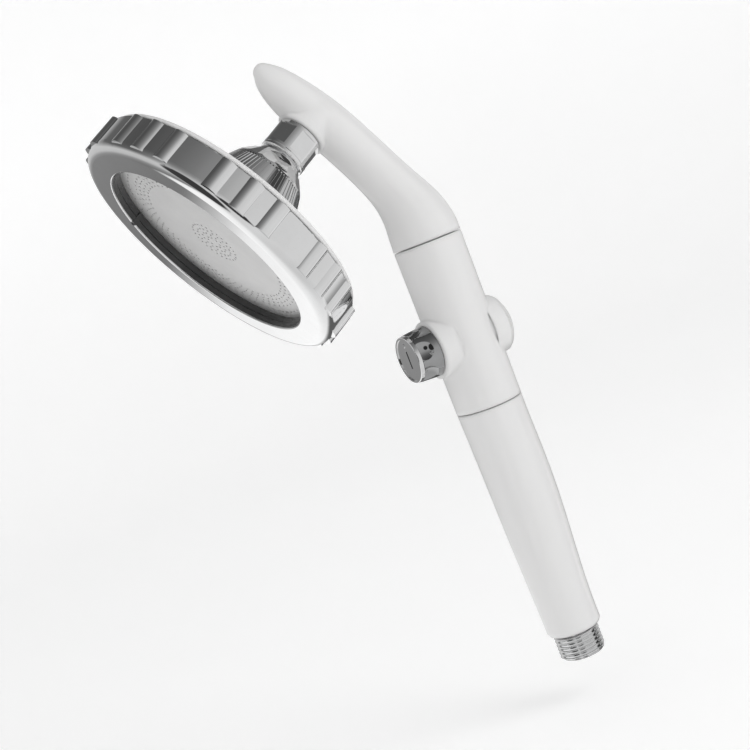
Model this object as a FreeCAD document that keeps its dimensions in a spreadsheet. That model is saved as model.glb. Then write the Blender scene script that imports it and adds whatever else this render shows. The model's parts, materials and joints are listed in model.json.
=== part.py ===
import FreeCAD, Part
import math
import os
import re
import Sketcher
from FreeCAD import Placement, Rotation, Vector

# Handheld shower head.  Row frame: +Z up the handle, origin at the centre of the hose inlet's
# end face, the knob and the spray face look toward -Y.  Head sizes are measured back from the
# flat front of the bezel ("depth"), along the head axis.  Valve sizes are measured out from the
# handle axis ("out").  All sizes are millimetres and degrees.

DIMENSIONS = {
    # allowances: how far a cut runs past the face it opens, and past a groove or pilot
    "over_cut": 1.0, "groove_clear": 0.5, "pilot_extra": 0.2,
    # head axis
    "head_tilt": 29.0, "head_reach": 96.2, "head_height": 227.1,
    # bezel ring and its finger ribs
    "face_open_r": 48.0, "bezel_out_r": 62.3, "bezel_bore_r": 59.9, "bezel_depth": 17.3,
    "bezel_front": 2.4, "bezel_lip_r": 50.2, "bezel_lip_depth": 3.1, "bezel_shoulder": 4.6,
    "rib_top_r": 63.8, "rib_round_r": 4.5, "rib_start": 3.1, "rib_end": 16.9,
    "rib_groups": 8, "rib_step": 11.8, "rib_phase": -8.2, "bezel_edge_round": 0.5,
    # retaining ring and index key
    "clamp_in_r": 48.1, "clamp_out_r": 59.8, "clamp_front": 2.7, "clamp_lip": 3.4,
    "clamp_back": 6.1, "clamp_step_r": 50.5,
    "key_angle": -145.4, "key_width": 2.4, "key_in_r": 47.6, "key_out_r": 49.3,
    "key_front": 0.5, "key_back": 6.0, "key_play": 0.1,
    # spray plate
    "plate_front": 6.2, "plate_back": 7.0, "plate_out_r": 56.0, "jet_r": 0.45,
    # plate gasket
    "gasket_in_r": 49.5, "gasket_front": 7.05, "gasket_back": 7.8,
    # distributor
    "dist_out_r": 57.5, "dist_front": 7.85, "dist_web": 11.0, "dist_back": 13.2,
    "dist_wall_in_r": 25.0, "dist_wall_out_r": 27.0, "dist_wall_front": 7.1,
    "hub_bore_r": 2.56, "hub_out_r": 6.0, "hub_front": 9.6,
    "port_in_reach": 17.0, "port_out_reach": 36.0, "port_r": 4.0, "port_count": 3,
    "port_phase": 20.0, "port_offset": 55.0,
    # six screws through the face stack
    "face_screw_reach": 52.8, "face_screw_count": 6, "face_screw_r": 1.0,
    "face_screw_tip": 3.7, "face_screw_head_r": 1.9, "face_screw_head": 11.95,
    "face_screw_head_back": 13.1, "screw_play": 0.1, "clamp_pilot_r": 1.02,
    # port plate, its screws and seals
    "seat_out_r": 56.9, "seat_front": 13.8, "seat_back": 16.2, "seat_hub_r": 5.2,
    "seat_hub_back": 20.0, "seat_bore_r": 2.52, "seal_pocket_r": 5.6, "seal_pocket": 15.0,
    "port_seal_r": 5.5, "port_seal_front": 13.35, "port_seal_back": 14.95,
    "seat_screw_reach": 44.0, "seat_screw_count": 4, "seat_screw_phase": 65.0,
    "seat_screw_r": 1.2, "seat_screw_head_r": 2.2, "seat_screw_front": 13.9,
    "seat_screw_head": 15.1, "seat_screw_tip": 21.3, "seat_pilot_r": 1.22,
    "boss_r": 3.6, "boss_front": 16.3, "boss_back": 23.4, "boss_pilot": 21.8,
    "chamber_seal_r": 56.3, "chamber_seal_cord": 0.78, "chamber_seal_depth": 17.05,
    # pivot screw
    "pivot_r": 2.5, "pivot_head_r": 4.6, "pivot_front": 7.5, "pivot_head": 9.4,
    "pivot_tip": 19.5,
    # rear shell
    "shell_in_r": 57.2, "shell_rim_r": 59.5, "shell_front": 13.6, "shell_step": 17.6,
    "shell_out_r": 61.6, "dome_a_r": 60.6, "dome_a_depth": 19.9, "dome_b_r": 40.0,
    "dome_b_depth": 25.9, "dome_top_r": 19.8, "dome_top": 29.8, "dome_round": 1.5,
    "neck_thread_r": 14.6, "neck_top": 44.0, "neck_bore_r": 13.1,
    "neck_floor": 33.4, "water_r": 5.0, "shell_floor": 32.0, "shell_floor_r": 11.5,
    "cavity_a_r": 20.0, "cavity_a_depth": 27.2, "cavity_b_r": 42.0, "cavity_b_depth": 22.9,
    "cavity_c_depth": 18.1,
    # union nut
    "nut_bore_r": 14.7, "nut_front": 30.4, "nut_base_r": 22.5, "nut_break_r": 16.7,
    "nut_break": 43.4, "nut_dome_r": 16.4, "nut_dome": 44.2, "nut_mouth_r": 12.6,
    "nut_mouth": 48.9, "nut_lip_r": 11.0, "nut_shelf": 44.1, "nut_facets": 16,
    "nut_facet_cut": 0.26, "facet_len": 8.0, "facet_width": 9.0, "knurl_count": 72,
    "knurl_len": 12.8, "knurl_width": 0.7, "knurl_cut": 0.32, "slant_height": 2.5,
    # ball joint
    "ball_depth": 44.6, "ball_r": 12.2, "ball_low": -49.0, "ball_high": 42.8,
    "socket_r": 13.0, "socket_high": 12.0, "lip_sphere_r": 12.4,
    "ring_in_r": 12.25, "ring_out_r": 12.95, "ring_low": -11.0, "ring_high": 1.5,
    "cup_in_r": 8.3, "cup_out_r": 13.0, "cup_front": 33.6, "cup_back": 39.8,
    # swivel collar
    "collar_r": 10.45, "collar_front": 52.9, "collar_back": 66.5, "collar_edge_r": 10.1,
    "collar_edge": 53.3, "collar_groove": 54.3, "collar_groove_back": 54.7,
    "collar_bore_r": 8.45, "collar_floor": 55.6, "swivel_neck_r": 8.8, "swivel_bore_r": 4.5,
    "swivel_neck": 46.0, "flat_count": 6, "flat_reach": 9.72, "flat_front": 55.9,
    "flat_back": 65.2, "flat_width": 9.6, "flat_phase": 12.0,
    "restrictor_r": 4.45, "restrictor_hole_r": 1.6, "restrictor_front": 47.0,
    "restrictor_back": 50.0,
    "washer_in_r": 4.7, "washer_out_r": 8.3, "washer_front": 55.65, "washer_back": 57.1,
    # arm
    "stub_tip": 57.2, "stub_r": 8.33, "stub_base": 66.9, "flange_r": 11.5,
    "flange_back": 69.2, "stub_root_r": 10.9, "stub_root": 80.0, "arm_bore_r": 5.2,
    "stub_bore_r": 4.6, "beak_y": -43.35, "beak_z": 289.1, "beak_r": 4.2,
    "seam_high": 197.9, "seam_low": 121.1, "seam_gap": 0.3,
    "socket_high_r": 11.7, "socket_high_depth": 10.4,
    # middle body
    "body_high_r": 15.6, "body_low_r": 15.15, "knob_height": 153.0, "body_edge_round": 0.6,
    "spigot_high_r": 11.6, "spigot_high_len": 10.0, "spigot_low_r": 12.0,
    "spigot_low_len": 10.0, "passage_r": 5.6, "pipe_socket_r": 7.6, "pipe_socket_top": 130.0,
    "boss_front_r": 13.2, "boss_root_r": 14.4, "boss_root_out": 9.0, "boss_out": 17.2,
    "rear_boss_r": 13.2, "rear_boss_out": 17.3, "valve_bore_r": 8.05, "valve_floor": 13.4,
    "cap_recess_r": 9.1, "cap_recess": 15.5, "boss_edge_round": 0.9,
    "groove_half": 1.0, "groove_high_r": 9.8, "groove_low_r": 10.1, "groove_high_z": 203.0,
    "groove_low_z": 116.0,
    "oring_high_r": 10.74, "oring_low_r": 11.08, "oring_cord": 0.93,
    # lower grip
    "grip_bottom": 12.5, "grip_bore_r": 10.5, "grip_bore_bottom": 32.0, "grip_socket_r": 12.1,
    "grip_socket_depth": 10.4, "grip_hole_r": 9.6, "grip_end_r": 11.9,
    # inner pipe and its seals
    "pipe_out_r": 7.5, "pipe_in_r": 5.6, "pipe_bottom": 20.5, "pipe_top": 129.6,
    "pipe_groove_r": 6.5, "pipe_groove_half": 0.75, "pipe_groove_low": 25.0,
    "pipe_groove_high": 125.0, "pipe_oring_r": 7.05, "pipe_oring_cord": 0.5,
    # inlet connector and screen
    "inlet_thread_r": 10.48, "inlet_thread_len": 12.2, "inlet_neck_r": 9.5,
    "inlet_top": 31.0, "inlet_socket": 20.2, "inlet_recess_r": 7.5, "inlet_recess": 2.7,
    "screen_r": 7.4, "screen_bottom": 0.6, "screen_top": 2.6, "screen_hole_r": 0.8,
    "screen_inner_reach": 2.4, "screen_inner_count": 6, "screen_outer_reach": 4.7,
    "screen_outer_count": 12,
    # valve spool
    "spool_r": 7.95, "spool_back": -13.0, "spool_front": 13.5, "spool_shaft_r": 3.5,
    "spool_shaft_out": 23.0, "spool_port_r": 4.6, "spool_groove_r": 6.35,
    "spool_groove_half": 0.85, "spool_groove_at": 10.6, "spool_oring_r": 7.19,
    "spool_oring_cord": 0.82, "spool_pilot_r": 1.52, "spool_pilot": 16.5,
    "gland_in_r": 3.58, "gland_out_r": 8.0, "gland_front": 17.0, "gland_back": 13.9,
    # knob
    "knob_base_r": 11.7, "knob_base": 17.5, "knob_front_r": 10.9, "knob_front": 27.0,
    "knob_wall_r": 9.4, "knob_web": 23.1, "knob_web_front": 25.1, "knob_hub_r": 5.5,
    "knob_hub_bore_r": 3.55, "knob_hub_base": 18.2, "knob_screw_hole_r": 1.6,
    "knob_counter_r": 3.1, "knob_step_r": 7.6, "knob_step": 19.0,
    "scoop_count": 6, "scoop_r": 6.6, "scoop_reach": 15.2, "scoop_out": 25.8,
    "scoop_phase": 12.0,
    "disc_r": 10.75, "disc_back": 27.1, "disc_front": 28.9, "disc_rim_r": 9.6,
    "disc_field": 28.5, "disc_edge_round": 0.45, "mark_len": 8.0, "mark_width": 1.1,
    "mark_rise": 0.25, "mark_root": 0.1, "mark_dot_r": 1.0, "mark_dot_reach": 6.6,
    "screw_head_r": 2.8, "screw_head_back": 25.15, "screw_head_front": 26.9,
    "screw_shank_r": 1.5, "screw_tip": 17.0,
    # rear cap
    "cap_plug_r": 9.0, "cap_plug": 15.7, "cap_base": 17.6, "cap_out_r": 12.3,
    "cap_rim": 18.6, "cap_crown_r": 9.6, "cap_crown": 20.4, "cap_round": 2.4,
}

# Rings of spray holes: (reach, count, turn of the first hole)
JET_CIRCLES = (
    (44.4, 72, 0.0),
    (40.4, 60, 0.0), (38.2, 60, 3.0), (36.0, 60, 0.0), (33.8, 60, 3.0),
    (3.2, 8, 0.0), (5.8, 14, 14.0), (8.4, 20, 28.0), (11.0, 26, 42.0),
)

# Stations up the arm's centre line: (y, z, r, lean of the section toward the head)
ARM_STATIONS = (
    (0.0, 198.2, 15.6, 0.0), (0.0, 203.5, 15.45, 1.0), (-1.3, 212.0, 14.2, 13.0),
    (-5.0, 222.5, 12.0, 23.0), (-10.6, 234.2, 11.0, 27.0), (-17.9, 247.8, 10.8, 30.0),
    (-26.2, 261.6, 10.7, 35.0), (-34.3, 273.7, 9.75, 38.0), (-39.9, 282.6, 7.9, 34.0),
    (-44.2, 290.6, 3.75, 30.0),
)
ARM_BORE_STATIONS = 7

# Stations up the grip: (y, z, r, lean)
GRIP_STATIONS = (
    (0.0, 13.7, 12.65, 0.0), (0.0, 42.0, 13.35, 0.0), (0.25, 54.0, 13.9, 0.0),
    (0.6, 72.0, 14.6, 0.0), (0.5, 97.0, 14.95, 0.0), (0.0, 120.95, 15.1, 0.0),
)

# Each table's rows go into the sheet as group_letter_column, such as arm_a_z
TABLES = (
    ("jet", ("reach", "count", "turn"), JET_CIRCLES),
    ("arm", ("y", "z", "r", "lean"), ARM_STATIONS),
    ("grip", ("y", "z", "r", "lean"), GRIP_STATIONS),
)
LETTERS = "abcdefghij"

DOC = FreeCAD.newDocument("handheld_shower")
SHEET = DOC.addObject("Spreadsheet::Sheet", "Dims")
NODES = []

HEAD_TURN = ("0", "-head_reach", "head_height", "head_tilt - 90")
VALVE_TURN = ("0", "0", "knob_height", "90")
REAR_TURN = ("0", "0", "knob_height", "-90")


def all_dimensions():
    values = dict(DIMENSIONS)
    for group, columns, rows in TABLES:
        for letter, row in zip(LETTERS, rows):
            for column, value in zip(columns, row):
                values["%s_%s_%s" % (group, letter, column)] = value
    return values


def fill_sheet():
    for row, (name, value) in enumerate(all_dimensions().items(), start=1):
        SHEET.set("A%d" % row, name)
        SHEET.set("B%d" % row, str(value))
        SHEET.setAlias("B%d" % row, name)
    DOC.recompute()


def expression(text):
    """Sheet names in a formula get the sheet's own name in front of them."""
    return re.sub(r"[a-z]+(?:_[a-z]+)+", lambda match: "Dims." + match.group(0), text)


def number(text):
    return float(SHEET.evalExpression(expression(text)))


def bind(thing, prop, text):
    thing.setExpression(prop, expression(text))


def place(thing, frame):
    """Turn a piece about X and move it to its seat."""
    east, north, up, turn = frame
    thing.Placement = Placement(Vector(0, 0, 0), Rotation(Vector(1, 0, 0), number(turn)))
    bind(thing, "Placement.Base.x", east)
    bind(thing, "Placement.Base.y", north)
    bind(thing, "Placement.Base.z", up)
    bind(thing, "Placement.Rotation.Angle", turn)


def origin_feature(body, role):
    return [item for item in body.Origin.OriginFeatures if item.Role == role][0]


def new_body(label):
    body = DOC.addObject("PartDesign::Body", "Body_" + label)
    body.Label = label
    return body


def pin_value(sketch, kind, index, text):
    if text == "0":
        axis = -2 if kind == "DistanceX" else -1
        sketch.addConstraint(Sketcher.Constraint("PointOnObject", index, 1, axis))
        return
    value = number(text)
    if value > 0:
        where = sketch.addConstraint(Sketcher.Constraint(kind, -1, 1, index, 1, value))
        bind(sketch, "Constraints[%d]" % where, text)
    else:
        where = sketch.addConstraint(Sketcher.Constraint(kind, index, 1, -1, 1, -value))
        bind(sketch, "Constraints[%d]" % where, "-(%s)" % text)


def turned(body, profile, name="Turned", kind="PartDesign::Revolution"):
    """A closed outline of (radius, height) corners turned about the Z axis."""
    sketch = body.newObject("Sketcher::SketchObject", "Outline_" + name)
    sketch.AttachmentSupport = [(origin_feature(body, "XZ_Plane"), "")]
    sketch.MapMode = "FlatFace"
    corners = [Vector(number(r), number(z), 0) for r, z in profile]
    count = len(corners)
    for index in range(count):
        line = Part.LineSegment(corners[index], corners[(index + 1) % count])
        sketch.addGeometry(line, False)
    for index in range(count):
        joint = Sketcher.Constraint("Coincident", index, 2, (index + 1) % count, 1)
        sketch.addConstraint(joint)
    for index, (r, z) in enumerate(profile):
        pin_value(sketch, "DistanceX", index, r)
        pin_value(sketch, "DistanceY", index, z)
    spin = body.newObject(kind, name)
    spin.Profile = (sketch, [""])
    spin.ReferenceAxis = (sketch, ["V_Axis"])
    spin.Angle = 360
    DOC.recompute()
    return spin


def solid_step(body, kind, name, sizes, at=("0", "0", "0"), turn=Rotation()):
    """Add or cut a primitive whose sizes and seat come from the sheet."""
    step = body.newObject("PartDesign::" + kind, name)
    step.Placement = Placement(Vector(0, 0, 0), turn)
    for prop, text in sizes.items():
        bind(step, prop, text)
    for axis, text in zip("xyz", at):
        bind(step, "Placement.Base." + axis, text)
    DOC.recompute()
    return step


def around(body, steps, count, name="Around"):
    """Repeat steps evenly round the body's Z axis."""
    pattern = body.newObject("PartDesign::PolarPattern", name)
    pattern.Originals = steps
    pattern.Axis = (origin_feature(body, "Z_Axis"), [""])
    pattern.Angle = 360
    bind(pattern, "Occurrences", count)
    body.Tip = pattern
    DOC.recompute()
    return pattern


def circle_edges(shape, radius, height):
    """Names of the round edges of that radius whose centre is at that height."""
    found = []
    for index, edge in enumerate(shape.Edges, start=1):
        curve = edge.Curve
        if not hasattr(curve, "Radius") or not hasattr(curve, "Center"):
            continue
        if abs(curve.Radius - radius) < 0.02 and abs(curve.Center.z - height) < 0.02:
            found.append("Edge%d" % index)
    return found


def round_edges(body, base, rings, radius, name="Rounded"):
    fillet = body.newObject("PartDesign::Fillet", name)
    names = []
    for r, z in rings:
        names += circle_edges(base.Shape, number(r), number(z))
    fillet.Base = (base, names)
    bind(fillet, "Radius", radius)
    DOC.recompute()
    return fillet


def polar(reach, angle):
    """Sheet formulas for a point at a reach and angle round Z."""
    return "%s * cos(%s)" % (reach, angle), "%s * sin(%s)" % (reach, angle)


def hole_circle(body, radius, low, high, reach, angle, count, name):
    """A ring of round holes."""
    east, north = polar(reach, angle)
    sizes = {"Radius": radius, "Height": "(%s) - (%s)" % (high, low)}
    hole = solid_step(body, "SubtractiveCylinder", name, sizes, (east, north, low))
    return around(body, [hole], count, name + "_Ring")


def finish(thing, frame=None):
    if frame is not None:
        place(thing, frame)
    NODES.append(thing)
    return thing


def ring_node(label, profile, frame):
    body = new_body(label)
    turned(body, profile)
    return finish(body, frame)


def torus_group(label, rings, frame=None):
    """Sealing rings given as (ring radius, cord radius, height)."""
    parts = []
    for index, (ring, cord, height) in enumerate(rings):
        torus = DOC.addObject("Part::Torus", "%s_%d" % (label, index))
        bind(torus, "Radius1", ring)
        bind(torus, "Radius2", cord)
        bind(torus, "Placement.Base.z", height)
        parts.append(torus)
    DOC.recompute()
    if len(parts) == 1:
        group = parts[0]
        if frame is not None:
            group = DOC.addObject("Part::Compound", "Group_" + label)
            group.Links = parts
    else:
        group = DOC.addObject("Part::Compound", "Group_" + label)
        group.Links = parts
    group.Label = label
    return finish(group, frame)


def copies_node(label, profile, reach, phase, count, frame):
    """One turned piece repeated round the head axis, as one node."""
    parts = []
    total = int(number(count))
    for index in range(total):
        body = DOC.addObject("PartDesign::Body", "%s_%d" % (label, index))
        turned(body, profile)
        angle = "%s + 360 * %d / %s" % (phase, index, count)
        east, north = polar(reach, "(" + angle + ")")
        bind(body, "Placement.Base.x", east)
        bind(body, "Placement.Base.y", north)
        parts.append(body)
    group = DOC.addObject("Part::Compound", "Group_" + label)
    group.Links = parts
    group.Label = label
    return finish(group, frame)


# ---------------------------------------------------------------- face group

def make_bezel_ring():
    body = new_body("bezel_ring")
    base = turned(body, [
        ("face_open_r", "0"), ("bezel_out_r", "0"), ("bezel_out_r", "bezel_depth"),
        ("bezel_bore_r", "bezel_depth"), ("bezel_bore_r", "bezel_front"),
        ("bezel_lip_r", "bezel_front"), ("bezel_lip_r", "bezel_lip_depth"),
        ("face_open_r", "bezel_lip_depth")])
    shoulder = round_edges(body, base, [("bezel_out_r", "0")], "bezel_shoulder", "Shoulder")
    round_edges(body, shoulder, [("face_open_r", "0"), ("bezel_out_r", "bezel_depth")],
                "bezel_edge_round", "Edges")
    sizes = {"Radius": "rib_round_r", "Height": "rib_end - rib_start"}
    ribs = []
    for index in (-1, 0, 1):
        angle = "(rib_phase + %d * rib_step)" % index
        east, north = polar("(rib_top_r - rib_round_r)", angle)
        rib = solid_step(body, "AdditiveCylinder", "Rib%d" % (index + 2), sizes,
                         (east, north, "rib_start"))
        ribs.append(rib)
    around(body, ribs, "rib_groups", "Ribs")
    solid_step(body, "SubtractiveCylinder", "Bore",
               {"Radius": "bezel_bore_r", "Height": "bezel_depth - bezel_lip_depth + over_cut"},
               ("0", "0", "bezel_lip_depth"))
    key_slot(body)
    return finish(body, HEAD_TURN)


def key_slot(body):
    """Slot that the index key stands in, in the recess wall."""
    turn = Rotation(Vector(0, 0, 1), number("key_angle"))
    width = "(key_width + 2 * key_play)"
    across = width + " / 2"
    start = "(key_in_r - over_cut)"
    east = "%s * cos(key_angle) + %s * sin(key_angle)" % (start, across)
    north = "%s * sin(key_angle) - %s * cos(key_angle)" % (start, across)
    slot = solid_step(body, "SubtractiveBox", "KeySlot",
                      {"Length": "key_out_r + key_play - " + start, "Width": width,
                       "Height": "plate_front + over_cut"}, (east, north, "-over_cut"), turn)
    body.Tip = slot


def make_retaining_ring():
    body = new_body("retaining_ring")
    turned(body, [
        ("clamp_in_r", "clamp_lip"), ("clamp_step_r", "clamp_lip"),
        ("clamp_step_r", "clamp_front"), ("clamp_out_r", "clamp_front"),
        ("clamp_out_r", "clamp_back"), ("clamp_in_r", "clamp_back")])
    hole_circle(body, "clamp_pilot_r", "face_screw_tip - pilot_extra", "clamp_back + over_cut",
                "face_screw_reach", "0", "face_screw_count", "Pilot")
    key_slot(body)
    return finish(body, HEAD_TURN)


def make_index_key():
    body = new_body("index_key")
    turn = Rotation(Vector(0, 0, 1), number("key_angle"))
    east = "key_in_r * cos(key_angle) + key_width / 2 * sin(key_angle)"
    north = "key_in_r * sin(key_angle) - key_width / 2 * cos(key_angle)"
    solid_step(body, "AdditiveBox", "Key",
               {"Length": "key_out_r - key_in_r", "Width": "key_width",
                "Height": "key_back - key_front"}, (east, north, "key_front"), turn)
    return finish(body, HEAD_TURN)


def make_spray_plate():
    body = new_body("spray_plate")
    turned(body, [
        ("0", "plate_front"), ("plate_out_r", "plate_front"),
        ("plate_out_r", "plate_back"), ("0", "plate_back")])
    hole_circle(body, "face_screw_r + screw_play", "plate_front - over_cut", "plate_back + over_cut",
                "face_screw_reach", "0", "face_screw_count", "ScrewHole")
    for letter, _ in zip(LETTERS, JET_CIRCLES):
        name = "jet_" + letter
        hole_circle(body, "jet_r", "plate_front - over_cut", "plate_back + over_cut",
                    name + "_reach", name + "_turn", name + "_count", "Ring_" + letter)
    return finish(body, HEAD_TURN)


def make_plate_gasket():
    body = new_body("plate_gasket")
    turned(body, [
        ("gasket_in_r", "gasket_front"), ("plate_out_r", "gasket_front"),
        ("plate_out_r", "gasket_back"), ("gasket_in_r", "gasket_back")])
    hole_circle(body, "face_screw_r + screw_play", "gasket_front - over_cut", "gasket_back + over_cut",
                "face_screw_reach", "0", "face_screw_count", "ScrewHole")
    return finish(body, HEAD_TURN)


def make_distributor():
    body = new_body("distributor")
    turned(body, [
        ("hub_bore_r", "hub_front"), ("hub_out_r", "hub_front"), ("hub_out_r", "dist_web"),
        ("dist_wall_in_r", "dist_web"), ("dist_wall_in_r", "dist_wall_front"),
        ("dist_wall_out_r", "dist_wall_front"), ("dist_wall_out_r", "dist_web"),
        ("gasket_in_r", "dist_web"), ("gasket_in_r", "dist_front"),
        ("dist_out_r", "dist_front"), ("dist_out_r", "dist_back"),
        ("hub_bore_r", "dist_back")])
    hole_circle(body, "face_screw_r + screw_play", "dist_front - over_cut", "dist_back + over_cut",
                "face_screw_reach", "0", "face_screw_count", "ScrewHole")
    hole_circle(body, "face_screw_head_r + screw_play", "face_screw_head",
                "dist_back + over_cut", "face_screw_reach", "0", "face_screw_count", "HeadSeat")
    hole_circle(body, "port_r", "dist_web - over_cut", "dist_back + over_cut",
                "port_out_reach", "port_phase", "port_count", "OuterPort")
    hole_circle(body, "port_r", "dist_web - over_cut", "dist_back + over_cut",
                "port_in_reach", "port_phase", "port_count", "InnerPort")
    return finish(body, HEAD_TURN)


def make_face_screws():
    return copies_node("face_screws", [
        ("0", "face_screw_tip"), ("face_screw_r", "face_screw_tip"),
        ("face_screw_r", "face_screw_head"), ("face_screw_head_r", "face_screw_head"),
        ("face_screw_head_r", "face_screw_head_back"), ("0", "face_screw_head_back")],
        "face_screw_reach", "0", "face_screw_count", HEAD_TURN)


# ---------------------------------------------------------------- head group

def make_port_plate():
    body = new_body("port_plate")
    turned(body, [
        ("seat_bore_r", "seat_front"), ("seat_out_r", "seat_front"),
        ("seat_out_r", "seat_back"), ("seat_hub_r", "seat_back"),
        ("seat_hub_r", "seat_hub_back"), ("seat_bore_r", "seat_hub_back")])
    for reach, phase, name in (
            ("port_out_reach", "port_phase", "Outer"),
            ("port_in_reach", "(port_phase + port_offset)", "Inner")):
        hole_circle(body, "port_r", "seat_front - over_cut", "seat_back + over_cut",
                    reach, phase, "port_count", name + "Port")
        hole_circle(body, "seal_pocket_r", "seat_front - over_cut", "seal_pocket",
                    reach, phase, "port_count", name + "Pocket")
    hole_circle(body, "seat_screw_r + screw_play", "seat_front - over_cut", "seat_back + over_cut",
                "seat_screw_reach", "seat_screw_phase", "seat_screw_count", "ScrewHole")
    hole_circle(body, "seat_screw_head_r + screw_play", "seat_front - over_cut",
                "seat_screw_head", "seat_screw_reach", "seat_screw_phase",
                "seat_screw_count", "HeadSeat")
    return finish(body, HEAD_TURN)


def make_port_seals():
    """Rubber rings at the six ports of the port plate."""
    parts = []
    profile = [
        ("port_r", "port_seal_front"), ("port_seal_r", "port_seal_front"),
        ("port_seal_r", "port_seal_back"), ("port_r", "port_seal_back")]
    for reach, phase in (("port_out_reach", "port_phase"),
                         ("port_in_reach", "(port_phase + port_offset)")):
        for index in range(int(number("port_count"))):
            seal = DOC.addObject("PartDesign::Body", "port_seal_%d" % len(parts))
            turned(seal, profile)
            east, north = polar(reach, "(%s + 360 * %d / port_count)" % (phase, index))
            bind(seal, "Placement.Base.x", east)
            bind(seal, "Placement.Base.y", north)
            parts.append(seal)
    group = DOC.addObject("Part::Compound", "Group_port_seals")
    group.Links = parts
    group.Label = "port_seals"
    return finish(group, HEAD_TURN)


def make_port_plate_screws():
    return copies_node("port_plate_screws", [
        ("0", "seat_screw_front"), ("seat_screw_head_r", "seat_screw_front"),
        ("seat_screw_head_r", "seat_screw_head"), ("seat_screw_r", "seat_screw_head"),
        ("seat_screw_r", "seat_screw_tip"), ("0", "seat_screw_tip")],
        "seat_screw_reach", "seat_screw_phase", "seat_screw_count", HEAD_TURN)


def make_rear_shell():
    body = new_body("rear_shell")
    base = turned(body, [
        ("shell_in_r", "shell_front"), ("shell_rim_r", "shell_front"),
        ("shell_rim_r", "shell_step"), ("shell_out_r", "shell_step"),
        ("dome_a_r", "dome_a_depth"), ("dome_b_r", "dome_b_depth"),
        ("dome_top_r", "dome_top"), ("neck_thread_r", "dome_top"),
        ("neck_thread_r", "neck_top"), ("neck_bore_r", "neck_top"),
        ("neck_bore_r", "neck_floor"), ("water_r", "neck_floor"),
        ("water_r", "shell_floor"), ("shell_floor_r", "shell_floor"),
        ("shell_floor_r", "cavity_a_depth"),
        ("cavity_a_r", "cavity_a_depth"), ("cavity_b_r", "cavity_b_depth"),
        ("shell_in_r", "cavity_c_depth")])
    round_edges(body, base, [("dome_a_r", "dome_a_depth")], "dome_round")
    east, north = polar("seat_screw_reach", "seat_screw_phase")
    boss = solid_step(body, "AdditiveCylinder", "Boss",
                      {"Radius": "boss_r", "Height": "boss_back - boss_front"},
                      (east, north, "boss_front"))
    around(body, [boss], "seat_screw_count", "Bosses")
    hole_circle(body, "seat_pilot_r", "boss_front - over_cut", "boss_pilot", "seat_screw_reach",
                "seat_screw_phase", "seat_screw_count", "Pilot")
    return finish(body, HEAD_TURN)


def slanted_box(body, name, start, stop, length, width, cut):
    """A box that shaves a cone between two (radius, height) corners by a small cut."""
    r_low, z_low = number(start[0]), number(start[1])
    r_high, z_high = number(stop[0]), number(stop[1])
    slope = math.degrees(math.atan2(z_high - z_low, r_low - r_high))
    turn = 90 - slope
    mid_r = "((%s + %s) / 2)" % (start[0], stop[0])
    mid_z = "((%s + %s) / 2)" % (start[1], stop[1])
    sine = "sin(%.6f)" % (90 - turn)
    cosine = "cos(%.6f)" % (90 - turn)
    east = "%s - %s * %s - %s / 2 * %s" % (mid_r, cut, sine, length, cosine)
    up = "%s - %s * %s + %s / 2 * %s" % (mid_z, cut, cosine, length, sine)
    return solid_step(body, "SubtractiveBox", name,
                      {"Length": length, "Width": width, "Height": "slant_height"},
                      (east, "-(%s) / 2" % width, up), Rotation(Vector(0, 1, 0), slope))


def make_union_nut():
    body = new_body("union_nut")
    turned(body, [
        ("nut_bore_r", "nut_front"), ("nut_base_r", "nut_front"),
        ("nut_break_r", "nut_break"), ("nut_dome_r", "nut_dome"),
        ("nut_mouth_r", "nut_mouth"), ("nut_lip_r", "nut_mouth"),
        ("nut_lip_r", "nut_shelf"), ("nut_bore_r", "nut_shelf")])
    solid_step(body, "SubtractiveSphere", "Socket",
               {"Radius": "socket_r", "Angle2": "socket_high"}, ("0", "0", "ball_depth"))
    solid_step(body, "SubtractiveSphere", "Lip", {"Radius": "lip_sphere_r"},
               ("0", "0", "ball_depth"))
    facet = slanted_box(body, "Facet", ("nut_dome_r", "nut_dome"),
                        ("nut_mouth_r", "nut_mouth"), "facet_len",
                        "facet_width", "nut_facet_cut")
    around(body, [facet], "nut_facets", "Facets")
    knurl = slanted_box(body, "Knurl", ("nut_base_r", "nut_front"),
                        ("nut_break_r", "nut_break"), "knurl_len", "knurl_width",
                        "knurl_cut")
    around(body, [knurl], "knurl_count", "Knurls")
    return finish(body, HEAD_TURN)


def make_pivot_screw():
    return ring_node("pivot_screw", [
        ("0", "pivot_front"), ("pivot_head_r", "pivot_front"), ("pivot_head_r", "pivot_head"),
        ("pivot_r", "pivot_head"), ("pivot_r", "pivot_tip"), ("0", "pivot_tip")], HEAD_TURN)


def make_chamber_seal():
    return torus_group("chamber_seal", [
        ("chamber_seal_r", "chamber_seal_cord", "chamber_seal_depth")], HEAD_TURN)


# ---------------------------------------------------------------- ball joint

def make_ball_friction_ring():
    body = new_body("ball_friction_ring")
    solid_step(body, "AdditiveSphere", "Outside",
               {"Radius": "ring_out_r", "Angle1": "ring_low", "Angle2": "ring_high"},
               ("0", "0", "ball_depth"))
    solid_step(body, "SubtractiveSphere", "Inside", {"Radius": "ring_in_r"},
               ("0", "0", "ball_depth"))
    return finish(body, HEAD_TURN)


def make_ball_seal():
    body = new_body("ball_seal")
    turned(body, [
        ("cup_in_r", "cup_front"), ("cup_out_r", "cup_front"),
        ("cup_out_r", "cup_back"), ("cup_in_r", "cup_back")])
    solid_step(body, "SubtractiveSphere", "Seat", {"Radius": "ring_in_r"},
               ("0", "0", "ball_depth"))
    return finish(body, HEAD_TURN)


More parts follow.
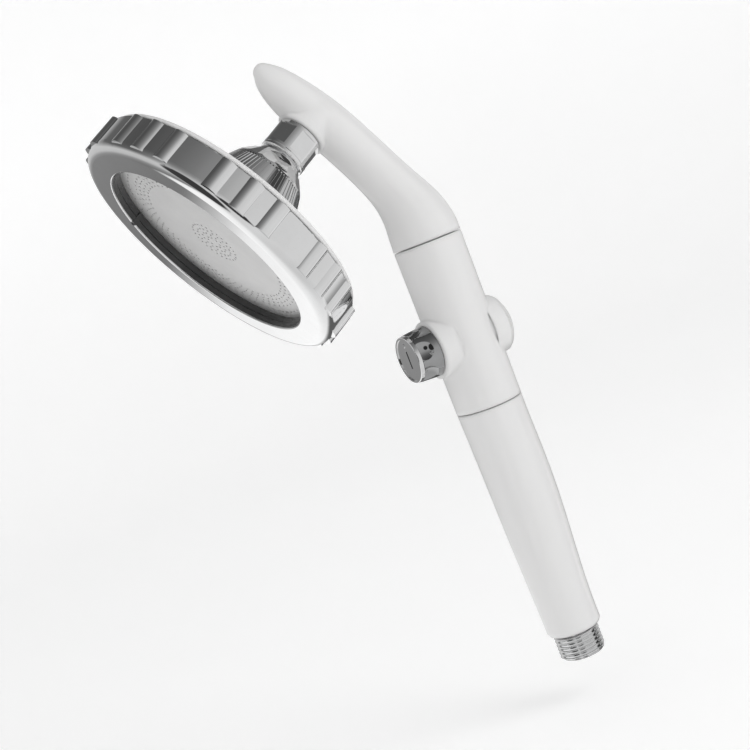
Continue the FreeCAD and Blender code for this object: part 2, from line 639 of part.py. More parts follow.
def make_swivel_ball():
    body = new_body("swivel_ball")
    turned(body, [
        ("swivel_bore_r", "swivel_neck"), ("swivel_neck_r", "swivel_neck"),
        ("swivel_neck_r", "collar_front"), ("collar_edge_r", "collar_front"),
        ("collar_r", "collar_edge"), ("collar_r", "collar_groove"),
        ("collar_edge_r", "collar_groove"), ("collar_edge_r", "collar_groove_back"),
        ("collar_r", "collar_groove_back"), ("collar_r", "collar_back"),
        ("collar_bore_r", "collar_back"), ("collar_bore_r", "collar_floor"),
        ("swivel_bore_r", "collar_floor")])
    solid_step(body, "AdditiveSphere", "Ball",
               {"Radius": "ball_r", "Angle1": "ball_low", "Angle2": "ball_high"},
               ("0", "0", "ball_depth"))
    solid_step(body, "SubtractiveCylinder", "Waterway",
               {"Radius": "swivel_bore_r", "Height": "collar_floor - ball_depth + ball_r"},
               ("0", "0", "ball_depth - ball_r"))
    turn = Rotation(Vector(0, 0, 1), number("flat_phase"))
    half = "flat_width / 2"
    flat = solid_step(body, "SubtractiveBox", "Flat",
                      {"Length": "collar_r - flat_reach + over_cut",
                       "Width": "flat_width",
                       "Height": "flat_back - flat_front"},
                      ("flat_reach * cos(flat_phase) + %s * sin(flat_phase)" % half,
                       "flat_reach * sin(flat_phase) - %s * cos(flat_phase)" % half,
                       "flat_front"), turn)
    around(body, [flat], "flat_count", "Flats")
    return finish(body, HEAD_TURN)


def make_flow_restrictor():
    return ring_node("flow_restrictor", [
        ("restrictor_hole_r", "restrictor_front"), ("restrictor_r", "restrictor_front"),
        ("restrictor_r", "restrictor_back"), ("restrictor_hole_r", "restrictor_back")],
        HEAD_TURN)


def make_swivel_washer():
    return ring_node("swivel_washer", [
        ("washer_in_r", "washer_front"), ("washer_out_r", "washer_front"),
        ("washer_out_r", "washer_back"), ("washer_in_r", "washer_back")], HEAD_TURN)


# ---------------------------------------------------------------- handle

def station_sketch(body, station, radius=None):
    """A circle across the handle at a named station, leaning toward the head."""
    name = "Outside_" + station if radius is None else "Inside_" + station
    radius = radius or station + "_r"
    sketch = body.newObject("Sketcher::SketchObject", name)
    sketch.AttachmentSupport = [(origin_feature(body, "XY_Plane"), "")]
    sketch.MapMode = "FlatFace"
    lean = Rotation(Vector(1, 0, 0), number(station + "_lean"))
    sketch.AttachmentOffset = Placement(Vector(0, 0, 0), lean)
    bind(sketch, "AttachmentOffset.Base.y", station + "_y")
    bind(sketch, "AttachmentOffset.Base.z", station + "_z")
    bind(sketch, "AttachmentOffset.Rotation.Angle", station + "_lean")
    sketch.addGeometry(Part.Circle(Vector(0, 0, 0), Vector(0, 0, 1), number(radius)), False)
    sketch.addConstraint(Sketcher.Constraint("Coincident", 0, 3, -1, 1))
    where = sketch.addConstraint(Sketcher.Constraint("Radius", 0, number(radius)))
    bind(sketch, "Constraints[%d]" % where, radius)
    return sketch


def stations(group, count):
    """Names of a table's first stations, such as arm_a and arm_b."""
    return ["%s_%s" % (group, letter) for letter in LETTERS[:count]]


def lofted(body, kind, name, sketches):
    loft = body.newObject("PartDesign::" + kind, name)
    loft.Profile = (sketches[0], [""])
    loft.Sections = [(sketch, [""]) for sketch in sketches[1:]]
    DOC.recompute()
    return loft


def head_point(depth):
    """Row position of a point on the head axis."""
    return ("0", "-head_reach + (%s) * cos(head_tilt)" % depth,
            "head_height + (%s) * sin(head_tilt)" % depth)


def head_cylinder(body, kind, name, radius, low, high):
    turn = Rotation(Vector(1, 0, 0), number("head_tilt - 90"))
    return solid_step(body, kind, name,
                      {"Radius": radius, "Height": "(%s) - (%s)" % (high, low)},
                      head_point(low), turn)


def make_upper_arm():
    body = new_body("upper_arm")
    outside = [station_sketch(body, name) for name in stations("arm", len(ARM_STATIONS))]
    lofted(body, "AdditiveLoft", "Arm", outside)
    solid_step(body, "AdditiveSphere", "Beak", {"Radius": "beak_r"},
               ("0", "beak_y", "beak_z"))
    head_cylinder(body, "AdditiveCylinder", "StubRoot", "stub_root_r", "stub_base",
                  "stub_root")
    head_cylinder(body, "AdditiveCylinder", "Flange", "flange_r", "stub_base",
                  "flange_back")
    head_cylinder(body, "AdditiveCylinder", "Stub", "stub_r", "stub_tip", "stub_root")
    inside = [station_sketch(body, name, "arm_bore_r")
              for name in stations("arm", ARM_BORE_STATIONS)]
    lofted(body, "SubtractiveLoft", "Channel", inside)
    head_cylinder(body, "SubtractiveCylinder", "StubBore", "stub_bore_r", "stub_tip - over_cut",
                  "stub_root")
    solid_step(body, "SubtractiveCylinder", "Socket",
               {"Radius": "socket_high_r", "Height": "socket_high_depth + over_cut"},
               ("0", "0", "seam_high - over_cut"))
    return finish(body)


def groove_cut(body, inside, outside, height, half, name):
    """An O-ring groove cut into a round spigot."""
    low = "%s - %s" % (height, half)
    high = "%s + %s" % (height, half)
    return turned(body, [(inside, low), (outside, low), (outside, high), (inside, high)],
                  name, "PartDesign::Groove")


def make_middle_body():
    body = new_body("middle_body")
    base = turned(body, [
        ("pipe_socket_r", "seam_low - spigot_low_len"),
        ("spigot_low_r", "seam_low - spigot_low_len"),
        ("spigot_low_r", "seam_low + seam_gap / 2"),
        ("body_low_r", "seam_low + seam_gap / 2"),
        ("body_high_r", "seam_high - seam_gap / 2"),
        ("spigot_high_r", "seam_high - seam_gap / 2"),
        ("spigot_high_r", "seam_high + spigot_high_len"),
        ("passage_r", "seam_high + spigot_high_len"),
        ("passage_r", "pipe_socket_top"), ("pipe_socket_r", "pipe_socket_top")])
    round_edges(body, base, [("body_low_r", "seam_low + seam_gap / 2"),
                             ("body_high_r", "seam_high - seam_gap / 2")],
                "body_edge_round", "SeamEdges")
    forward = Rotation(Vector(1, 0, 0), 90)
    backward = Rotation(Vector(1, 0, 0), -90)
    solid_step(body, "AdditiveCone", "FrontBoss",
               {"Radius1": "boss_root_r", "Radius2": "boss_front_r",
                "Height": "boss_out - boss_root_out"},
               ("0", "-boss_root_out", "knob_height"), forward)
    solid_step(body, "AdditiveCone", "RearBoss",
               {"Radius1": "boss_root_r", "Radius2": "rear_boss_r",
                "Height": "rear_boss_out - boss_root_out"},
               ("0", "boss_root_out", "knob_height"), backward)
    # the middle of the body is solid round the valve
    solid_step(body, "AdditiveCylinder", "ValveBlock",
               {"Radius": "boss_front_r", "Height": "2 * boss_root_out"},
               ("0", "boss_root_out", "knob_height"), forward)
    solid_step(body, "SubtractiveCylinder", "Passage",
               {"Radius": "passage_r",
                "Height": "seam_high + spigot_high_len - pipe_socket_top + over_cut"},
               ("0", "0", "pipe_socket_top"))
    solid_step(body, "SubtractiveCylinder", "ValveBore",
               {"Radius": "valve_bore_r", "Height": "boss_out + valve_floor + over_cut"},
               ("0", "valve_floor", "knob_height"), forward)
    solid_step(body, "SubtractiveCylinder", "CapRecess",
               {"Radius": "cap_recess_r", "Height": "rear_boss_out - cap_recess + over_cut"},
               ("0", "cap_recess", "knob_height"), backward)
    groove_cut(body, "groove_high_r", "spigot_high_r + groove_clear", "groove_high_z",
               "groove_half", "GrooveHigh")
    groove_cut(body, "groove_low_r", "spigot_low_r + groove_clear", "groove_low_z",
               "groove_half", "GrooveLow")
    return finish(body)


def make_lower_grip():
    body = new_body("lower_grip")
    outside = [station_sketch(body, name) for name in stations("grip", len(GRIP_STATIONS))]
    lofted(body, "AdditiveLoft", "Grip", outside)
    solid_step(body, "AdditiveCone", "EndChamfer",
               {"Radius1": "grip_end_r", "Radius2": "grip_a_r",
                "Height": "grip_a_z - grip_bottom"},
               ("0", "0", "grip_bottom"))
    solid_step(body, "SubtractiveCylinder", "Hole",
               {"Radius": "grip_hole_r", "Height": "grip_bore_bottom - grip_bottom + 2 * over_cut"},
               ("0", "0", "grip_bottom - over_cut"))
    solid_step(body, "SubtractiveCylinder", "Cavity",
               {"Radius": "grip_bore_r", "Height": "seam_low - grip_bore_bottom + over_cut"},
               ("0", "0", "grip_bore_bottom"))
    solid_step(body, "SubtractiveCylinder", "Socket",
               {"Radius": "grip_socket_r", "Height": "grip_socket_depth + over_cut"},
               ("0", "0", "seam_low - grip_socket_depth"))
    return finish(body)


def make_inner_pipe():
    body = new_body("inner_pipe")
    turned(body, [
        ("pipe_in_r", "pipe_bottom"), ("pipe_out_r", "pipe_bottom"),
        ("pipe_out_r", "pipe_top"), ("pipe_in_r", "pipe_top")])
    for height, name in (("pipe_groove_low", "GrooveLow"), ("pipe_groove_high", "GrooveHigh")):
        groove_cut(body, "pipe_groove_r", "pipe_out_r + groove_clear", height, "pipe_groove_half",
                   name)
    return finish(body)


def make_inlet_connector():
    return ring_node("inlet_connector", [
        ("inlet_recess_r", "0"), ("inlet_thread_r", "0"),
        ("inlet_thread_r", "inlet_thread_len"), ("inlet_neck_r", "inlet_thread_len"),
        ("inlet_neck_r", "inlet_top"), ("pipe_socket_r", "inlet_top"),
        ("pipe_socket_r", "inlet_socket"), ("passage_r", "inlet_socket"),
        ("passage_r", "inlet_recess"), ("inlet_recess_r", "inlet_recess")], None)


def make_inlet_screen():
    body = new_body("inlet_screen")
    turned(body, [
        ("0", "screen_bottom"), ("screen_r", "screen_bottom"),
        ("screen_r", "screen_top"), ("0", "screen_top")])
    for reach, count, name in (
            ("screen_inner_reach", "screen_inner_count", "Inner"),
            ("screen_outer_reach", "screen_outer_count", "Outer")):
        hole_circle(body, "screen_hole_r", "screen_bottom - over_cut", "screen_top + over_cut",
                    reach, "0", count, name)
    solid_step(body, "SubtractiveCylinder", "Centre",
               {"Radius": "screen_hole_r", "Height": "screen_top - screen_bottom + 2 * over_cut"},
               ("0", "0", "screen_bottom - over_cut"))
    return finish(body)


def make_seals():
    torus_group("pipe_seals", [
        ("pipe_oring_r", "pipe_oring_cord", "pipe_groove_low"),
        ("pipe_oring_r", "pipe_oring_cord", "pipe_groove_high")])
    torus_group("seam_seals", [
        ("oring_high_r", "oring_cord", "groove_high_z"),
        ("oring_low_r", "oring_cord", "groove_low_z")])
    torus_group("spool_seals", [
        ("spool_oring_r", "spool_oring_cord", "spool_groove_at"),
        ("spool_oring_r", "spool_oring_cord", "-spool_groove_at")], VALVE_TURN)


def make_rear_cap():
    body = new_body("rear_cap")
    base = turned(body, [
        ("0", "cap_plug"), ("cap_plug_r", "cap_plug"), ("cap_plug_r", "cap_base"),
        ("cap_out_r", "cap_base"), ("cap_out_r", "cap_rim"),
        ("cap_crown_r", "cap_crown"), ("0", "cap_crown")])
    round_edges(body, base, [("cap_crown_r", "cap_crown")], "cap_round", "Crown")
    return finish(body, REAR_TURN)


# ---------------------------------------------------------------- valve and knob

def make_valve_spool():
    """Turned plug with a cross port, open at rest, and a shaft for the knob."""
    body = new_body("valve_spool")
    near, far = "spool_groove_at - spool_groove_half", "spool_groove_at + spool_groove_half"
    turned(body, [
        ("0", "spool_back"), ("spool_r", "spool_back"),
        ("spool_r", "-(%s)" % far), ("spool_groove_r", "-(%s)" % far),
        ("spool_groove_r", "-(%s)" % near), ("spool_r", "-(%s)" % near),
        ("spool_r", near), ("spool_groove_r", near), ("spool_groove_r", far),
        ("spool_r", far), ("spool_r", "spool_front"), ("spool_shaft_r", "spool_front"),
        ("spool_shaft_r", "spool_shaft_out"), ("spool_pilot_r", "spool_shaft_out"),
        ("spool_pilot_r", "spool_pilot"), ("0", "spool_pilot")])
    solid_step(body, "SubtractiveCylinder", "Port",
               {"Radius": "spool_port_r", "Height": "4 * spool_r"},
               ("0", "2 * spool_r", "0"), Rotation(Vector(1, 0, 0), 90))
    return finish(body, VALVE_TURN)


def make_valve_gland():
    return ring_node("valve_gland", [
        ("gland_in_r", "gland_back"), ("gland_out_r", "gland_back"),
        ("gland_out_r", "gland_front"), ("gland_in_r", "gland_front")], VALVE_TURN)


def make_knob():
    body = new_body("knob")
    turned(body, [
        ("knob_wall_r", "knob_base"), ("knob_base_r", "knob_base"),
        ("knob_front_r", "knob_front"), ("knob_counter_r", "knob_front"),
        ("knob_counter_r", "knob_web_front"), ("knob_screw_hole_r", "knob_web_front"),
        ("knob_screw_hole_r", "knob_web"), ("knob_hub_bore_r", "knob_web"),
        ("knob_hub_bore_r", "knob_hub_base"), ("knob_hub_r", "knob_hub_base"),
        ("knob_hub_r", "knob_web"), ("knob_step_r", "knob_web"),
        ("knob_step_r", "knob_step"), ("knob_wall_r", "knob_step")])
    east, north = polar("scoop_reach", "scoop_phase")
    scoop = solid_step(body, "SubtractiveSphere", "Scoop", {"Radius": "scoop_r"},
                       (east, north, "scoop_out"))
    around(body, [scoop], "scoop_count", "Scoops")
    return finish(body, VALVE_TURN)


def make_knob_face():
    """Front disc of the knob: a raised rim round a field with a plain pointer mark."""
    body = new_body("knob_face")
    base = turned(body, [
        ("0", "disc_back"), ("disc_r", "disc_back"), ("disc_r", "disc_front"),
        ("disc_rim_r", "disc_front"), ("disc_rim_r", "disc_field"), ("0", "disc_field")])
    round_edges(body, base, [("disc_r", "disc_front")], "disc_edge_round", "Rim")
    solid_step(body, "AdditiveBox", "Mark",
               {"Length": "mark_width", "Width": "mark_len", "Height": "mark_rise + mark_root"},
               ("-mark_width / 2", "-mark_len / 2", "disc_field - mark_root"))
    solid_step(body, "AdditiveCylinder", "Dot",
               {"Radius": "mark_dot_r", "Height": "mark_rise + mark_root"},
               ("0", "mark_dot_reach", "disc_field - mark_root"))
    return finish(body, VALVE_TURN)


def make_knob_screw():
    return ring_node("knob_screw", [
        ("0", "screw_tip"), ("screw_shank_r", "screw_tip"),
        ("screw_shank_r", "screw_head_back"), ("screw_head_r", "screw_head_back"),
        ("screw_head_r", "screw_head_front"), ("0", "screw_head_front")], VALVE_TURN)


BUILDERS = (
    make_bezel_ring, make_retaining_ring, make_index_key, make_spray_plate,
    make_plate_gasket, make_distributor, make_face_screws, make_port_plate,
    make_port_seals, make_port_plate_screws, make_rear_shell, make_union_nut,
    make_pivot_screw, make_chamber_seal, make_ball_friction_ring, make_ball_seal,
    make_swivel_ball, make_flow_restrictor, make_swivel_washer, make_upper_arm,
    make_middle_body, make_lower_grip, make_inner_pipe, make_inlet_connector,
    make_inlet_screen, make_seals, make_rear_cap, make_valve_spool, make_valve_gland,
    make_knob, make_knob_face, make_knob_screw,
)


def check_and_write():
    DOC.recompute()
    for thing in DOC.Objects:
        if "Invalid" in thing.State or "Error" in thing.State:
            raise RuntimeError("not computed: %s (%s)" % (thing.Label, thing.Name))
    for node in NODES:
        shape = node.Shape
        if shape.isNull() or not shape.isValid() or shape.Volume <= 0:
            raise RuntimeError("bad shape: " + node.Label)
        shape.exportStep("parts/%s.step" % node.Label)
        box = shape.BoundBox
        print("%-20s solids %2d  volume %9.1f  x %7.1f %6.1f  y %7.1f %6.1f  z %6.1f %6.1f" % (
            node.Label, len(shape.Solids), shape.Volume, box.XMin, box.XMax,
            box.YMin, box.YMax, box.ZMin, box.ZMax))


def main():
    os.makedirs("parts", exist_ok=True)
    fill_sheet()
    for build in BUILDERS:
        build()
    check_and_write()


main()
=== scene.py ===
import json
import math
import bpy
from mathutils import Matrix, Vector


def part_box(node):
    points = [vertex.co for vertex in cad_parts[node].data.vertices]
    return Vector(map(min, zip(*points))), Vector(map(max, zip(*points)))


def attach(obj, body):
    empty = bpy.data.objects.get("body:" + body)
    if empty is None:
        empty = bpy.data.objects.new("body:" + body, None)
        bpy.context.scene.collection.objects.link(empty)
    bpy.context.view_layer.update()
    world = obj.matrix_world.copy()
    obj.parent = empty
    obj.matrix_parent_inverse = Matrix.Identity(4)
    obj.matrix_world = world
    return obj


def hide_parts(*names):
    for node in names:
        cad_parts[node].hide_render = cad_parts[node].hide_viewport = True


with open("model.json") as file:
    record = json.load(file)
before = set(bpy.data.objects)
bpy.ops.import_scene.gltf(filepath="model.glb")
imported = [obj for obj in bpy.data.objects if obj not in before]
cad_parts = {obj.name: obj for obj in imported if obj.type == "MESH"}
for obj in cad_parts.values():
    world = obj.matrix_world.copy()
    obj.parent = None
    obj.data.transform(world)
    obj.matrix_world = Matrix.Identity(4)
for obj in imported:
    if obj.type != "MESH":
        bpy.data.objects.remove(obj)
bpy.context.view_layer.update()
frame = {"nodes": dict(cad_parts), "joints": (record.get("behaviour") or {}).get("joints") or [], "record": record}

# camera: where it stands, and its right, up and back directions
CAMERA_AT = Vector((0.56145, -0.26697, 0.21251))
CAMERA_RIGHT = Vector((0.37475874, 0.85391661, -0.3610849))
CAMERA_UP = Vector((0.04802922, 0.37106419, 0.92736431))
CAMERA_BACK = Vector((0.92587746, -0.36488051, 0.0980466))
CAMERA_LENS = 67.78
# the object's middle, which the lights aim at
TARGET = Vector((0.0, -0.045, 0.17))


# ------------------------------------------------------------------ materials

class Paint:
    """A material whose nodes are added one at a time."""

    def __init__(self, name):
        self.material = bpy.data.materials.new(name)
        self.material.use_nodes = True
        self.nodes = self.material.node_tree.nodes
        self.links = self.material.node_tree.links
        self.shader = self.nodes["Principled BSDF"]
        self.place = self.nodes.new("ShaderNodeTexCoord").outputs["Object"]

    def add(self, kind, **sockets):
        node = self.nodes.new("ShaderNode" + kind)
        for name, value in sockets.items():
            self.feed(node, name, value)
        return node

    def feed(self, node, name, value):
        socket = node.inputs[name.replace("_", " ")]
        if hasattr(value, "is_linked"):
            self.links.new(value, socket)
        else:
            socket.default_value = value

    def set(self, **sockets):
        for name, value in sockets.items():
            self.feed(self.shader, name, value)

    def noise(self, scale, detail=3.0, rough=0.55, place=None):
        node = self.add("TexNoise", Vector=place or self.place, Scale=scale, Detail=detail,
                        Roughness=rough)
        return node.outputs["Fac"]

    def ramp(self, value, stops):
        node = self.add("ValToRGB", Fac=value)
        points = node.color_ramp.elements
        while len(points) < len(stops):
            points.new(0.5)
        for point, (where, colour) in zip(points, stops):
            point.position = where
            point.color = colour
        return node.outputs["Color"]

    def between(self, value, low, high):
        node = self.add("MapRange", Value=value)
        node.inputs["To Min"].default_value = low
        node.inputs["To Max"].default_value = high
        return node.outputs["Result"]

    def bump(self, height, distance, strength=1.0, under=None):
        node = self.add("Bump", Height=height, Distance=distance, Strength=strength)
        if under is not None:
            self.links.new(under, node.inputs["Normal"])
        return node.outputs["Normal"]

    def stretched(self, x, y, z):
        node = self.add("Mapping", Vector=self.place, Scale=(x, y, z))
        return node.outputs["Vector"]


def grey(level, warm=0.0):
    return (level + warm, level, level - warm, 1.0)


def white_shell():
    """Satin moulded plastic with faint flow clouds and orange peel."""
    paint = Paint("white_shell")
    clouds = paint.noise(28.0, 4.0)
    tone = paint.ramp(clouds, ((0.3, grey(0.776, 0.003)), (0.7, grey(0.79, 0.002))))
    peel = paint.noise(900.0, 2.0)
    wave = paint.noise(140.0, 2.0)
    rounding = paint.add("Bevel", Radius=0.0028)
    rounding.samples = 8
    soft = paint.bump(wave, 0.00006, 0.35, rounding.outputs["Normal"])
    paint.set(Base_Color=tone, Roughness=paint.between(clouds, 0.27, 0.31),
              Normal=paint.bump(peel, 0.00002, 0.5, soft))
    paint.set(Coat_Weight=0.25, Coat_Roughness=0.12, IOR=1.5)
    return paint.material


def chrome(name="chrome_plate", level=0.80):
    """Bright plating with hairline polish marks and a little haze."""
    paint = Paint(name)
    haze = paint.noise(60.0, 5.0, 0.6)
    marks = paint.noise(320.0, 6.0, 0.7, paint.stretched(1.0, 1.0, 9.0))
    tone = paint.ramp(haze, ((0.3, grey(level - 0.03)), (0.7, grey(level + 0.02, -0.004))))
    paint.set(Base_Color=tone, Metallic=1.0, Roughness=paint.between(marks, 0.02, 0.065),
              Normal=paint.bump(marks, 0.000006, 0.25))
    return paint.material


def spray_steel():
    """Fine bead-blasted plate."""
    paint = Paint("spray_steel")
    grain = paint.noise(2600.0, 3.0, 0.7)
    stain = paint.noise(45.0, 4.0)
    tone = paint.ramp(stain, ((0.3, grey(0.66, 0.002)), (0.7, grey(0.73, 0.002))))
    paint.set(Base_Color=tone, Metallic=0.75, Roughness=paint.between(grain, 0.38, 0.52),
              Normal=paint.bump(grain, 0.00002, 0.5))
    return paint.material


def steel_screw():
    paint = Paint("steel_screw")
    lines = paint.noise(700.0, 4.0, 0.6, paint.stretched(1.0, 1.0, 14.0))
    tone = paint.ramp(lines, ((0.3, grey(0.48)), (0.75, grey(0.62))))
    paint.set(Base_Color=tone, Metallic=1.0, Roughness=paint.between(lines, 0.22, 0.4),
              Normal=paint.bump(lines, 0.00002, 0.4))
    return paint.material


def seal_rubber():
    paint = Paint("seal_rubber")
    dust = paint.noise(500.0, 5.0, 0.7)
    tone = paint.ramp(dust, ((0.35, grey(0.018)), (0.75, grey(0.045, 0.002))))
    paint.set(Base_Color=tone, Roughness=paint.between(dust, 0.55, 0.75),
              Normal=paint.bump(dust, 0.00004, 0.5))
    return paint.material


def plain_moulding(name, low, high, rough_low, rough_high):
    """Moulded engineering plastic with a fine spark-eroded grain."""
    paint = Paint(name)
    grain = paint.noise(1500.0, 3.0, 0.65)
    clouds = paint.noise(70.0, 4.0)
    tone = paint.ramp(clouds, ((0.3, low), (0.7, high)))
    paint.set(Base_Color=tone, Roughness=paint.between(grain, rough_low, rough_high),
              Normal=paint.bump(grain, 0.00002, 0.5))
    return paint.material


MATERIALS = {
    "white_shell": white_shell(),
    "chrome_plate": chrome(),
    "spray_steel": spray_steel(),
    "steel_screw": steel_screw(),
    "seal_rubber": seal_rubber(),
    "dark_plastic": plain_moulding("dark_plastic", grey(0.03), grey(0.055), 0.18, 0.3),
    "grey_plastic": plain_moulding("grey_plastic", grey(0.36), grey(0.42, 0.004), 0.4, 0.55),
    "acetal": plain_moulding("acetal", grey(0.66, 0.02), grey(0.74, 0.02), 0.32, 0.45),
}
# painted shade: the knob's barrel gets a darker copy of the chrome, standing in for the dark surroundings it
# mirrors
PAINTED_SHADE_FINISH = {"knob": chrome("painted_shade_chrome", 0.38)}


def dress_nodes():
    for row in frame["record"]["subparts"]:
        thing = frame["nodes"][row["node"]]
        for place in thing.material_slots:
            place.link = "OBJECT"
            # the knob takes the darker chrome copy, painted shade
            place.material = PAINTED_SHADE_FINISH.get(row["node"], MATERIALS[row["material_slot"]])


# ------------------------------------------------------------------ pieces of the scene's own

SHARP_CREASE = math.radians(50)
FACE_TURN = next(joint for joint in frame["joints"] if joint["name"] == "face_turn")
FACE_CENTRE = Vector(FACE_TURN["pos_m"])
HEAD_BACK = Vector(FACE_TURN["axis"])


def tube_faces(ring_count, around):
    """Quads between rings of points, the last ring joined to the first."""
    faces = []
    for low in range(ring_count):
        high = (low + 1) % ring_count
        for k in range(around):
            after = (k + 1) % around
            faces.append((low * around + k, low * around + after, high * around + after,
                          high * around + k))
    return faces


def smooth_piece(name, points, faces, slot, body):
    """A smooth-shaded piece with crisp creases, in a record slot's finish, riding on a body."""
    mesh = bpy.data.meshes.new(name)
    mesh.from_pydata(points, [], faces)
    for face in mesh.polygons:
        face.use_smooth = True
    mesh.set_sharp_from_angle(angle=SHARP_CREASE)
    mesh.materials.append(MATERIALS[slot])
    piece = bpy.data.objects.new(name, mesh)
    bpy.context.collection.objects.link(piece)
    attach(piece, body)
    return piece


def painted_shade_sleeve():
    """The dark edge strip inside the bezel's opening, in front of the ring: painted shade, a dark ring put where
    the recess wall is only in shade.
    """
    outer, inner, front, back = 0.04797, 0.04775, 0.0008, 0.00305
    section = ((outer, front), (outer, back), (inner, back), (inner, front))
    around = 180
    across = Vector((1.0, 0.0, 0.0))
    up = HEAD_BACK.cross(across)
    points = []
    for radius, depth in section:
        middle = FACE_CENTRE + HEAD_BACK * depth
        for k in range(around):
            angle = 2 * math.pi * k / around
            spoke = across * math.cos(angle) + up * math.sin(angle)
            points.append(middle + spoke * radius)
    smooth_piece("painted_shade_sleeve", points, tube_faces(len(section), around), "dark_plastic", "face")


def threaded_inlet():
    """The hose inlet with its real pipe thread, sizes in millimetres."""
    metre = 1000
    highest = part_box("inlet_connector")[1]
    crest, top = highest.x * metre, highest.z * metre
    pitch, root, thread_end, fade, flank = 1.814, 9.32, 12.2, 0.9, 0.8
    neck, socket, bore, mouth = 9.5, 7.6, 5.6, 7.5
    socket_floor, mouth_floor = 20.2, 2.7
    around, rows = 144, 108

    def thread_radius(turn, z):
        wave = 0.5 + 0.5 * math.cos(2 * math.pi * (z / pitch - turn))
        ends = min(1.0, z / fade, (thread_end - z) / fade)
        return root + (crest - root) * max(0.0, ends) * wave ** flank

    heights = [thread_end * row / rows for row in range(rows + 1)]
    rings = [[(thread_radius(k / around, z), z) for k in range(around)] for z in heights]
    plain = ((neck, thread_end), (neck, top), (socket, top), (socket, socket_floor),
             (bore, socket_floor), (bore, mouth_floor), (mouth, mouth_floor), (mouth, 0.0))
    rings += [[place] * around for place in plain]
    points = []
    for ring in rings:
        for k, (radius, z) in enumerate(ring):
            angle = 2 * math.pi * k / around
            points.append((radius * math.cos(angle) / metre, radius * math.sin(angle) / metre,
                           z / metre))
    inlet = smooth_piece("threaded_inlet", points, tube_faces(len(rings), around),
                         "chrome_plate", "handle")
    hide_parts("inlet_connector")


# ------------------------------------------------------------------ stage

def stage_material(name, level, glow):
    """Pale paper that is lit from behind as well, like a light table."""
    paint = Paint(name)
    mottle = paint.noise(3.0, 2.0)
    paint.set(Base_Color=paint.ramp(mottle, ((0.3, grey(level - 0.01)), (0.7, grey(level)))),
              Roughness=0.9, Emission_Color=grey(1.0), Emission_Strength=glow)
    return paint.material


def studio_bowl():
    """Floor that sweeps up into a round wall, so that no view shows a horizon."""
    floor_radius, sweep, wall_top, floor_z = 1.25, 0.5, 2.2, -0.02
    floor_rings, sweep_rings, around = 5, 12, 96
    paper, glow = 0.93, 0.225
    outline = [(floor_radius * step / floor_rings, floor_z) for step in range(1, floor_rings + 1)]
    for step in range(1, sweep_rings + 1):
        angle = math.radians(90.0 * step / sweep_rings)
        outline.append((floor_radius + sweep * math.sin(angle),
                        floor_z + sweep * (1 - math.cos(angle))))
    outline.append((floor_radius + sweep, wall_top))
    points = [(r * math.cos(2 * math.pi * k / around), r * math.sin(2 * math.pi * k / around), z)
              for r, z in outline for k in range(around)]
    faces = [tuple(range(around))]
    for ring in range(len(outline) - 1):
        for k in range(around):
            low, high = ring * around, (ring + 1) * around
            after = (k + 1) % around
            faces.append((low + k, high + k, high + after, low + after))
    mesh = bpy.data.meshes.new("studio_bowl")
    mesh.from_pydata(points, [], faces)
    for face in mesh.polygons:
        face.use_smooth = True
    bowl = bpy.data.objects.new("studio_bowl", mesh)
    bpy.context.collection.objects.link(bowl)
    bowl.visible_glossy = False
    mesh.materials.append(stage_material("paper", paper, glow))


def aim(thing, target):
    thing.rotation_mode = "QUATERNION"
    thing.rotation_quaternion = (target - thing.location).to_track_quat("-Z", "Y")


def from_target(right, up, back):
    """A place given in the camera's directions, from the object's middle."""
    return TARGET + CAMERA_RIGHT * right + CAMERA_UP * up + CAMERA_BACK * back


def soft_box(name, place, width, height, watts):
    light = bpy.data.lights.new(name, "AREA")
    light.shape = "RECTANGLE"
    light.size, light.size_y = width, height
    light.energy = watts
    lamp = bpy.data.objects.new(name, light)
    bpy.context.collection.objects.link(lamp)
    lamp.location = place
    lamp.visible_glossy = False
    aim(lamp, TARGET)


# what the chrome mirrors: grey levels by height (sine of the elevation), west and east
SKY_WEST = ((-1.0, 0.9), (-0.32, 1.15), (-0.26, 1.0), (-0.21, 0.2), (-0.05, 0.34), (0.1, 0.6),
            (0.35, 0.65), (0.6, 0.14), (1.0, 0.08))
SKY_EAST = ((-1.0, 0.7), (-0.5, 0.78), (0.0, 0.72), (0.2, 0.7), (0.45, 0.5), (0.62, 0.34),
            (0.8, 0.22), (1.0, 0.12))
SKY_BLEND = 0.35
# black cards round the object: direction, cosine where each fades in and is full, level
CARDS = (((-0.61, 0.61, -0.5), 0.80, 0.93, 0.13), ((0.30, -0.95, 0.05), 0.90, 0.94, 0.05),
         ((0.10, 0.94, 0.33), 0.93, 0.96, 0.06), ((0.88, -0.44, -0.06), 0.95, 0.975, 0.05),
         ((0.28, 0.93, -0.25), 0.965, 0.98, 0.05))


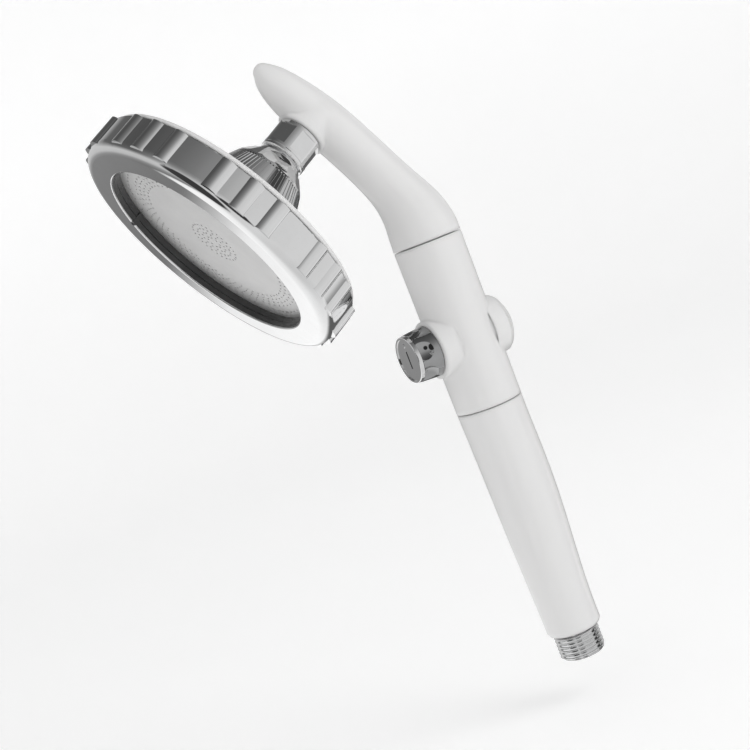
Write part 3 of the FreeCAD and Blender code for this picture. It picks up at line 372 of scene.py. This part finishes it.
def sky():
    """The mirrored studio: west and east skies, with the black cards laid over them."""
    world = bpy.data.worlds.new("studio")
    bpy.context.scene.world = world
    world.use_nodes = True
    nodes, links = world.node_tree.nodes, world.node_tree.links
    direction = nodes.new("ShaderNodeTexCoord").outputs["Generated"]
    split = nodes.new("ShaderNodeSeparateXYZ")
    links.new(direction, split.inputs["Vector"])

    def between(value, low, high, start=0.0, stop=1.0):
        node = nodes.new("ShaderNodeMapRange")
        node.interpolation_type = "SMOOTHSTEP"
        links.new(value, node.inputs["Value"])
        for name, number in (("From Min", low), ("From Max", high), ("To Min", start),
                             ("To Max", stop)):
            node.inputs[name].default_value = number
        return node.outputs["Result"]

    def ramp(stops):
        height = between(split.outputs["Z"], -1.0, 1.0)
        height.node.interpolation_type = "LINEAR"
        node = nodes.new("ShaderNodeValToRGB")
        links.new(height, node.inputs["Fac"])
        points = node.color_ramp.elements
        while len(points) < len(stops):
            points.new(0.5)
        for point, (where, level) in zip(points, stops):
            point.position = (where + 1) / 2
            point.color = (level, level, level, 1.0)
        return node.outputs["Color"]

    def mixed(factor, low, high):
        node = nodes.new("ShaderNodeMix")
        node.data_type = "RGBA"
        links.new(factor, node.inputs["Factor"])
        links.new(low, node.inputs["A"])
        if isinstance(high, tuple):
            node.inputs["B"].default_value = high
        else:
            links.new(high, node.inputs["B"])
        return node.outputs["Result"]

    tone = mixed(between(split.outputs["X"], -SKY_BLEND, SKY_BLEND), ramp(SKY_WEST),
                 ramp(SKY_EAST))
    for card, edge, full, level in CARDS:
        near = nodes.new("ShaderNodeVectorMath")
        near.operation = "DOT_PRODUCT"
        links.new(direction, near.inputs[0])
        near.inputs[1].default_value = Vector(card).normalized()
        tone = mixed(between(near.outputs["Value"], edge, full), tone, (level, level, level, 1.0))
    links.new(tone, nodes["Background"].inputs["Color"])


def lights():
    """A key, a faint fill and a broad top light: name, place, width, height, watts."""
    soft_box("key", from_target(0.55, 0.95, 0.55), 0.6, 0.6, 2.9)
    soft_box("fill", from_target(-0.9, 0.15, 0.7), 0.7, 0.9, 0.2)
    soft_box("top", TARGET + Vector((0.0, 0.0, 1.25)), 1.6, 1.6, 3.6)
    sky()


def camera():
    lens = bpy.data.cameras.new("camera")
    lens.lens = CAMERA_LENS
    lens.sensor_width = 36.0
    lens.clip_start, lens.clip_end = 0.01, 20.0
    eye = bpy.data.objects.new("camera", lens)
    bpy.context.collection.objects.link(eye)
    columns = (CAMERA_RIGHT, CAMERA_UP, CAMERA_BACK)
    turn = Matrix([[column[row] for column in columns] for row in range(3)])
    eye.matrix_world = Matrix.Translation(CAMERA_AT) @ turn.to_4x4()
    bpy.context.scene.camera = eye


bpy.context.scene.view_settings.view_transform = "Standard"
dress_nodes()
threaded_inlet()
# painted shade: a dark ring inside the bezel's recess
painted_shade_sleeve()
studio_bowl()
lights()
camera()
